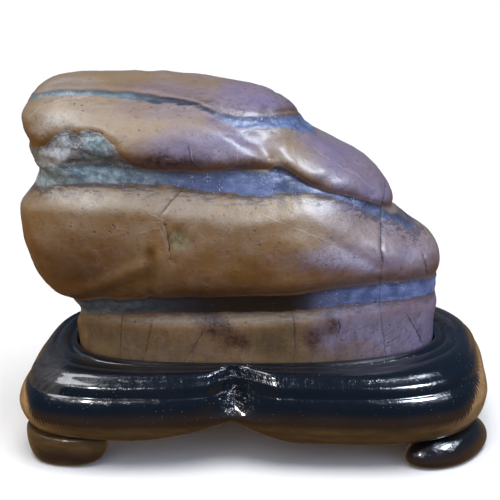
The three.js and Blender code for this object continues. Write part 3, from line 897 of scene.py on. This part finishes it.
class Shader:
    """A material's node tree. Any input may be a number, a colour or a Value."""

    def __init__(self, name):
        self.material = bpy.data.materials.new(name)
        self.material.use_nodes = True
        self.tree = self.material.node_tree
        self.tree.nodes.clear()
        place = self.value("ShaderNodeTexCoord", {}, "Object")
        self.place = self.value("ShaderNodeVectorMath", {0: place, "Scale": 1 / MM}, operation="SCALE")

    def value(self, kind, inputs, output=0, **settings):
        """The output of a new node, with its inputs and output by name or number."""
        node = self.tree.nodes.new(kind)
        for key, setting in settings.items():
            setattr(node, key, setting)
        for key, given in inputs.items():
            socket = node.inputs[key]
            if isinstance(given, Value):
                self.tree.links.new(given.socket, socket)
            elif isinstance(given, tuple) and socket.type == "RGBA":
                socket.default_value = (*given, 1.0)
            else:
                socket.default_value = given
        return Value(self, node.outputs[output])

    def mix(self, share, a, b):
        return self.value("ShaderNodeMix", {0: share, 6: a, 7: b}, 2, data_type="RGBA")

    def paint(self, colour, *layers):
        """A colour with others laid over it in turn, each where its mask is 1."""
        for mask, over in layers:
            colour = self.mix(mask, colour, over)
        return colour

    def attribute(self, name):
        return self.value("ShaderNodeAttribute", {}, "Fac", attribute_name=name)

    def noise(self, size, detail=3.0, roughness=0.55, stretch=(1, 1, 1), distortion=0.0, turn=0.0):
        """Noise from 0 to 1 with features of the given size in millimetres, turned about Y in degrees."""
        place = self.place
        if turn:
            rotation = (0, math.radians(turn), 0)
            place = self.value("ShaderNodeMapping", {"Vector": place, "Rotation": rotation})
        inputs = {
            "Vector": self.value("ShaderNodeVectorMath", {0: place, 1: stretch}, operation="MULTIPLY"),
            "Scale": 1 / size, "Detail": detail, "Roughness": roughness, "Distortion": distortion,
        }
        return self.value("ShaderNodeTexNoise", inputs, "Fac")

    def specks(self, size, low, high):
        """Dots, one to a cell of the given size: 1 nearer its middle than high, 0 beyond low."""
        inputs = {"Vector": self.place, "Scale": 1 / size}
        return self.value("ShaderNodeTexVoronoi", inputs, "Distance").step(low, high)

    def line(self, name, width, wander):
        """A thin line where the named offset is 0, as strong as its strength attribute says."""
        away = abs(self.attribute(name) + wander.swing(1.2))
        return away.step(width, width * 0.35) * self.attribute(name + "_strength")

    def finish(self, colour, roughness, height, depth, strength, **constants):
        """The material: bumps are of the given depth in millimetres."""
        bump = {"Height": height, "Distance": depth * MM, "Strength": strength}
        inputs = {
            "Base Color": colour, "Roughness": roughness, "Normal": self.value("ShaderNodeBump", bump),
            **{key.replace("_", " "): constant for key, constant in constants.items()},
        }
        surface = self.value("ShaderNodeBsdfPrincipled", inputs)
        output = self.tree.nodes.new("ShaderNodeOutputMaterial")
        self.tree.links.new(surface.socket, output.inputs["Surface"])
        return self.material


def stone_material():
    s = Shader("waxed_stone")
    broad = s.noise(34, 4, distortion=0.6)
    cloud = s.noise(11, 5, 0.6)
    grain = s.noise(2.2, 4, 0.65)
    fine = s.noise(0.8, 2, 0.6)
    drift = cloud - 0.5
    loose = grain.swing(0.8)
    # painted light and shade: the colours below turn paler where the surface faces up and darker where it
    # faces down
    painted_top_light = (s.attribute("facing") + drift * 0.5).step(-0.2, 0.5)
    lilac = (s.attribute("lilac") + drift * 0.5).step(0.1, 0.9)
    dark_red_and_shade = s.attribute("dark_red_and_shade")
    base = s.attribute("base") * dark_red_and_shade.inverse()

    # tan on the left and lilac on the right, each as a lit copy on upward faces and a darker, more saturated
    # shaded copy on downward ones: painted light and shade, partly the stone's own iron staining on the
    # undersides
    tan = s.mix(painted_top_light, (0.25, 0.12, 0.030), (0.285, 0.21, 0.135))
    amber = s.mix(painted_top_light, (0.23, 0.112, 0.020), (0.30, 0.195, 0.085))
    violet = s.mix(painted_top_light, (0.20, 0.155, 0.235), (0.215, 0.18, 0.30))
    rose = s.mix(painted_top_light, (0.205, 0.12, 0.135), (0.225, 0.16, 0.195))
    warm = s.mix(broad.step(0.42, 0.62), tan, amber)
    cool = s.mix(s.noise(24, 3).step(0.3, 0.62), rose, violet)
    lit_base_colour = s.mix(lilac, (0.40, 0.28, 0.16), (0.56, 0.50, 0.80))
    streaks = s.noise(4, 5, 0.7, (1.2, 1, 0.45)).step(0.44, 0.64)
    painted_highlight = s.attribute("painted_highlight") * grain.step(0.3, 0.6)
    highlight_tint = s.mix(lilac, (0.52, 0.51, 0.49), (0.42, 0.41, 0.54))
    swirl = s.noise(3, 4, 0.6, (0.3, 1, 1.3), 0.8, 35).step(0.5, 0.68)
    blotch = s.noise(2.8, 4, 0.7).step(0.42, 0.54)
    pit = s.specks(5.5, 0.12, 0.05) * s.noise(12, 2).step(0.45, 0.55)
    flecks = s.noise(1.7, 3, 0.6, (0.75, 1, 0.5), 0.4)
    threshold = s.attribute("pitted") * -0.07 + 0.70
    pit = pit.math("MAXIMUM", (flecks - threshold).step(-0.015, 0.03))
    veins = abs(s.noise(13, 3, 0.5, (0.45, 1, 1.6), 1.4) - 0.5).step(0.02, 0.0)
    colour = s.paint(
        warm,
        (lilac, cool),
        # painted shade: dark brown on the undercut zones, partly the stone's own iron brown
        (s.attribute("painted_brown") * 0.9, (0.115, 0.042, 0.004)),
        # the base layer painted paler: partly its own paler tone, partly painted light on its front
        (base * 0.4, lit_base_colour),
        (s.attribute("ochre") * 0.75, (0.13, 0.085, 0.02)),
        (base * streaks * 0.45, (0.10, 0.07, 0.06)),
        # painted highlight: pale greyish patches, bluer on the lilac
        (painted_highlight * 0.75, highlight_tint),
        (cloud.step(0.35, 0.7) * 0.16, (0.42, 0.33, 0.27)),
        (grain.step(0.54, 0.72) * 0.52, (0.11, 0.062, 0.05)),
        (swirl * lilac * 0.5, (0.11, 0.09, 0.17)),
        # dark red zones: real dark patches on the base, partly painted shade along the second layer's lower
        # edge
        (dark_red_and_shade * 0.65, (0.07, 0.034, 0.030)),
        (dark_red_and_shade * blotch, (0.05, 0.02, 0.026)),
        (pit * 0.7, (0.05, 0.024, 0.02)),
        (veins * 0.1, (0.5, 0.4, 0.36)),
    )

    # fractured and scarred places
    chipped = s.noise(2.6, 5, 0.75, distortion=0.8).step(0.36, 0.6)
    broken = s.paint(
        s.mix(chipped, (0.13, 0.145, 0.175), (0.47, 0.49, 0.54)),
        (s.attribute("fracture_teal"), s.mix(chipped, (0.10, 0.15, 0.18), (0.34, 0.48, 0.52))),
        (s.attribute("fracture_pale"), s.mix(chipped, (0.40, 0.49, 0.58), (0.80, 0.87, 0.95))),
    )
    fracture = (s.attribute("fracture") + loose).step(0.3, 0.6)
    scar = (s.attribute("scar") + loose).step(0.2, 0.6)
    olive = s.mix(chipped, (0.10, 0.09, 0.035), (0.28, 0.24, 0.12))
    colour = s.paint(colour, (fracture * 0.92, broken), (scar * 0.7, olive))

    # bands in the grooves: a crisp upper edge, and flat dark strokes below the lower one
    strokes = s.noise(1.6, 5, 0.7, (0.28, 0.28, 1.4))
    inside = s.attribute("band_inside")
    upper = s.attribute("band_side").step(-0.4, 0.4)
    crisp = inside + drift * 1.8
    frayed = inside + strokes.swing(3.6)
    band = s.mix(upper, frayed.step(-0.7, 0.4), crisp.step(-0.5, 0.4))
    tone = s.attribute("band_tone")
    blue = s.mix(s.noise(7, 4, 0.6).step(0.35, 0.65), (0.11, 0.185, 0.44), (0.26, 0.36, 0.70))
    grey = s.mix(s.noise(5, 4, 0.65).step(0.38, 0.62), (0.22, 0.36, 0.47), (0.56, 0.76, 0.90))
    tinted = s.mix(s.attribute("teal"), blue, grey)
    # painted shadow: each band darkens towards its upper edge, under the overhanging layer
    tinted = s.mix(crisp.step(2.6, 0.0) * upper * 0.6, tinted, (0.02, 0.03, 0.06))
    slate = s.mix(tone, (0.006, 0.005, 0.005), tinted)
    slate = s.mix(strokes.step(0.5, 0.66) * 0.4, slate, (0.02, 0.03, 0.05))
    dense = inside.step(-3.0, -0.3) * 0.12 + strokes
    hatching = dense.step(0.5, 0.58) * inside.step(-7.5, -2.0) * band.inverse() * s.attribute("band_hatch")
    # painted shade: reddish brown on the underside of the overhanging lip just above each upper band, partly
    # the stone's own iron staining
    lip_shade_rust = crisp.step(-4.5, -0.6) * upper * crisp.step(0.3, -0.3) * s.attribute("lip_shade_rust")
    lip = crisp.step(-1.7, -0.9) * upper * crisp.step(0.0, -0.6)
    sparkle = s.specks(0.9, 0.34, 0.16) * s.noise(2.6, 3).step(0.47, 0.6)
    near = inside.step(-2.5, 1.0) * tone.step(0.1, 0.7) * s.noise(16, 2).step(0.38, 0.52)
    colour = s.paint(
        colour,
        (band * 0.96, slate),
        (hatching * 0.75, (0.065, 0.06, 0.085)),
        (lip_shade_rust, (0.10, 0.042, 0.018)),
        (lip * 0.3, (0.40, 0.31, 0.30)),
        (sparkle * near, (0.65, 0.74, 0.85)),
    )

    # cracks, scratches and dust
    dashes = s.noise(7, 2).step(0.36, 0.5)
    crack = s.line("crack", 0.38, s.noise(1.6, 2)) * (dashes * 0.6 + 0.4)
    scratch = s.line("scratch", 0.26, s.noise(2.0, 2))
    dust = s.specks(1.9, 0.13, 0.07) * s.noise(9, 2).step(0.5, 0.62)
    colour = s.paint(
        colour,
        (crack * 0.92, (0.012, 0.008, 0.008)),
        (scratch * 0.6, (0.5, 0.47, 0.43)),
        (dust * 0.45, (0.5, 0.47, 0.46)),
    )

    rough = cloud * 0.2 + 0.36 + fracture * 0.1 + crack * 0.3
    height = grain * 0.9 + fine * 0.5 - crack * 1.2 - pit * 0.8
    height = height + fracture * chipped * 1.4 + band * strokes * 0.8
    return s.finish(
        colour, rough, height, 0.28, 0.8, Coat_Weight=0.4, Coat_Roughness=0.38, Specular_IOR_Level=0.5
    )


def lacquer_material():
    s = Shader("lacquered_wood")
    grain = s.noise(2.4, 4, 0.6, (0.16, 0.5, 1))
    cloud = s.noise(16, 3)
    ends = s.attribute("ends")

    # tool marks across the moulding: fine everywhere, coarser at the ends
    shaken = s.attribute("along") + s.noise(6, 3) * 5.0
    fine_marks = shaken.wave(1.1)
    coarse_marks = shaken.wave(2.1) * (ends * s.noise(5, 2).step(0.3, 0.7))
    marks = fine_marks * 0.4 + coarse_marks

    # black on top, brown below: the brown and its plum edge are a painted reflection of a brown table in the
    # gloss, and the amber at the ends a painted warm reflection; the edge between them is broken into teeth
    # at the ends
    depth = s.attribute("below_reflection_edge") + cloud.swing(2.5) + coarse_marks * 2.6
    black = s.mix(cloud.step(0.3, 0.7), (0.002, 0.005, 0.010), (0.004, 0.006, 0.011))
    plum = s.mix(depth.step(-7.0, -1.0) * 0.8, black, (0.036, 0.021, 0.018))
    fibre = grain.step(0.35, 0.65)
    painted_brown = s.mix(fibre, (0.13, 0.082, 0.034), (0.085, 0.05, 0.02))
    amber = s.mix(fibre, (0.60, 0.38, 0.18), (0.42, 0.25, 0.11))
    worn = (s.attribute("worn") + grain.swing(0.7)).step(0.3, 0.7)
    hatch = s.noise(1.1, 3, 0.6, (0.25, 1, 1), 0, 40)
    grey = s.mix(hatch.step(0.4, 0.62), (0.022, 0.019, 0.016), (0.075, 0.062, 0.062))
    dust = s.specks(1.6, 0.11, 0.05) * s.noise(12, 2).step(0.46, 0.6)
    colour = s.paint(
        plum,
        (depth.step(-1.8, 2.2), s.mix(ends * 0.8, painted_brown, amber)),
        (worn * 0.65, grey),
        (dust * 0.5, (0.4, 0.45, 0.52)),
    )

    rough = dust * 0.4 + 0.17 + worn * 0.28
    wavy = s.attribute("notched").step(0.1, 0.6) * 5.0 + 0.8
    height = s.noise(2.6, 3) * wavy + grain * 0.12 + marks * 0.3 + worn * hatch * 0.5
    return s.finish(
        colour, rough, height, 0.2, 0.8, Coat_Weight=0.8, Coat_Roughness=0.07, Specular_IOR_Level=0.4
    )


def floor_material():
    s = Shader("pale_floor")
    colour = s.mix(s.noise(300, 2), (0.92, 0.92, 0.92), (0.9, 0.9, 0.9))
    return s.finish(colour, 0.6, s.noise(4, 2), 0.02, 0.2, Specular_IOR_Level=0.2)


# ---- the studio

FLOOR_HALF = 20.0  # metres
LIGHT_TARGET = Vector((0, 0, 0.07))
SKY_DISTANCE = 3
# Directions are an azimuth and an elevation in degrees: azimuth 0 is the camera's side and 90 is the right.
# Lights that shade softly and leave no reflection: direction, spread in degrees, strength and colour.
SKIES = {
    "overhead": (5, 80, 46, 3.0, (1.0, 0.985, 0.96)),
    "front": (-18, 32, 50, 0.65, (1.0, 0.96, 0.92)),
    "cool_right": (55, 20, 60, 1.1, (0.55, 0.68, 1.0)),
    "warm_left": (-105, 8, 40, 1.1, (1.0, 0.8, 0.5)),
}
# Lights that show only in the gloss: direction, distance and size in metres, power and colour.
WINDOWS = {
    "window_left": (-36, 46, 1.1, (0.10, 0.16), 4.5, (1.0, 0.98, 0.96)),
    "window_right": (58, 50, 1.1, (0.26, 0.24), 19, (0.76, 0.86, 1.0)),
    "side_left": (-88, 60, 1.2, (0.4, 0.4), 5, (0.95, 0.97, 1.0)),
}
# Dim surroundings, from straight below (0) to straight above (1).
ROOM = [
    (0.0, (0.14, 0.085, 0.04)), (0.44, (0.22, 0.14, 0.07)), (0.5, (0.14, 0.12, 0.11)),
    (0.58, (0.07, 0.09, 0.13)), (1.0, (0.06, 0.10, 0.18)),
]

CAMERA_ELEVATION = 18  # degrees
CAMERA_DISTANCE = 0.6  # metres
CAMERA_LENS = 95.9
CAMERA_AIM = Vector((-3.6, 12.8, -3.7)) * MM  # from the middle of the part


def add_floor():
    """Adds the floor, which the camera sees and the object's gloss doesn't."""
    half = FLOOR_HALF
    mesh = bpy.data.meshes.new("floor")
    corners = [(-half, -half, 0), (half, -half, 0), (half, half, 0), (-half, half, 0)]
    mesh.from_pydata(corners, [], [(0, 1, 2, 3)])
    mesh.materials.append(floor_material())
    floor = bpy.data.objects.new("floor", mesh)
    floor.visible_glossy = False
    floor.visible_diffuse = False
    bpy.context.scene.collection.objects.link(floor)


def add_light(name, kind, azimuth, elevation, distance, energy, colour):
    """Adds a light round the object, facing it."""
    a, e = math.radians(azimuth), math.radians(elevation)
    direction = Vector((math.sin(a) * math.cos(e), -math.cos(a) * math.cos(e), math.sin(e)))
    light = bpy.data.lights.new(name, kind)
    light.energy = energy
    light.color = colour
    lamp = bpy.data.objects.new(name, light)
    lamp.location = LIGHT_TARGET + direction * distance
    lamp.rotation_euler = (-direction).to_track_quat("-Z", "Y").to_euler()
    bpy.context.scene.collection.objects.link(lamp)
    return lamp


def add_room():
    world = bpy.data.worlds.new("room")
    world.use_nodes = True
    tree = world.node_tree
    place = tree.nodes.new("ShaderNodeTexCoord")
    axes = tree.nodes.new("ShaderNodeSeparateXYZ")
    ramp = tree.nodes.new("ShaderNodeValToRGB")
    shift = tree.nodes.new("ShaderNodeMath")
    shift.operation = "MULTIPLY_ADD"
    shift.inputs[1].default_value = 0.5
    shift.inputs[2].default_value = 0.5
    tree.links.new(place.outputs["Generated"], axes.inputs[0])
    tree.links.new(axes.outputs["Z"], shift.inputs[0])
    tree.links.new(shift.outputs[0], ramp.inputs[0])
    tree.links.new(ramp.outputs[0], tree.nodes["Background"].inputs["Color"])
    ramp.color_ramp.elements.remove(ramp.color_ramp.elements[1])
    for at, colour in ROOM:
        element = ramp.color_ramp.elements.new(at) if at > 0 else ramp.color_ramp.elements[0]
        element.color = (*colour, 1)
    bpy.context.scene.world = world


def add_studio():
    add_floor()
    add_room()
    for name, (azimuth, elevation, spread, strength, colour) in SKIES.items():
        lamp = add_light(name, "SUN", azimuth, elevation, SKY_DISTANCE, strength, colour)
        lamp.data.angle = math.radians(spread)
        lamp.visible_glossy = False
    for name, (azimuth, elevation, distance, size, power, colour) in WINDOWS.items():
        lamp = add_light(name, "AREA", azimuth, elevation, distance, power, colour)
        lamp.data.shape = "RECTANGLE"
        lamp.data.size, lamp.data.size_y = size
        lamp.visible_diffuse = False
    bpy.context.scene.view_settings.view_transform = "Standard"


def add_camera():
    low, high = CAD_BOX
    target = (Vector(low) + Vector(high)) / 2 + CAMERA_AIM
    elevation = math.radians(CAMERA_ELEVATION)
    back = Vector((0, -math.cos(elevation), math.sin(elevation)))
    camera = bpy.data.cameras.new("camera")
    camera.lens = CAMERA_LENS
    camera.sensor_width = 36
    camera.clip_start = 0.01
    camera.clip_end = 50
    holder = bpy.data.objects.new("camera", camera)
    holder.location = target + back * CAMERA_DISTANCE
    holder.rotation_euler = (-back).to_track_quat("-Z", "Y").to_euler()
    bpy.context.scene.collection.objects.link(holder)
    bpy.context.scene.camera = holder


add_camera()
add_studio()
build_stone(stone_material())
lacquer = lacquer_material()
build_ring(lacquer)
for foot in FEET:
    build_foot(foot, lacquer)
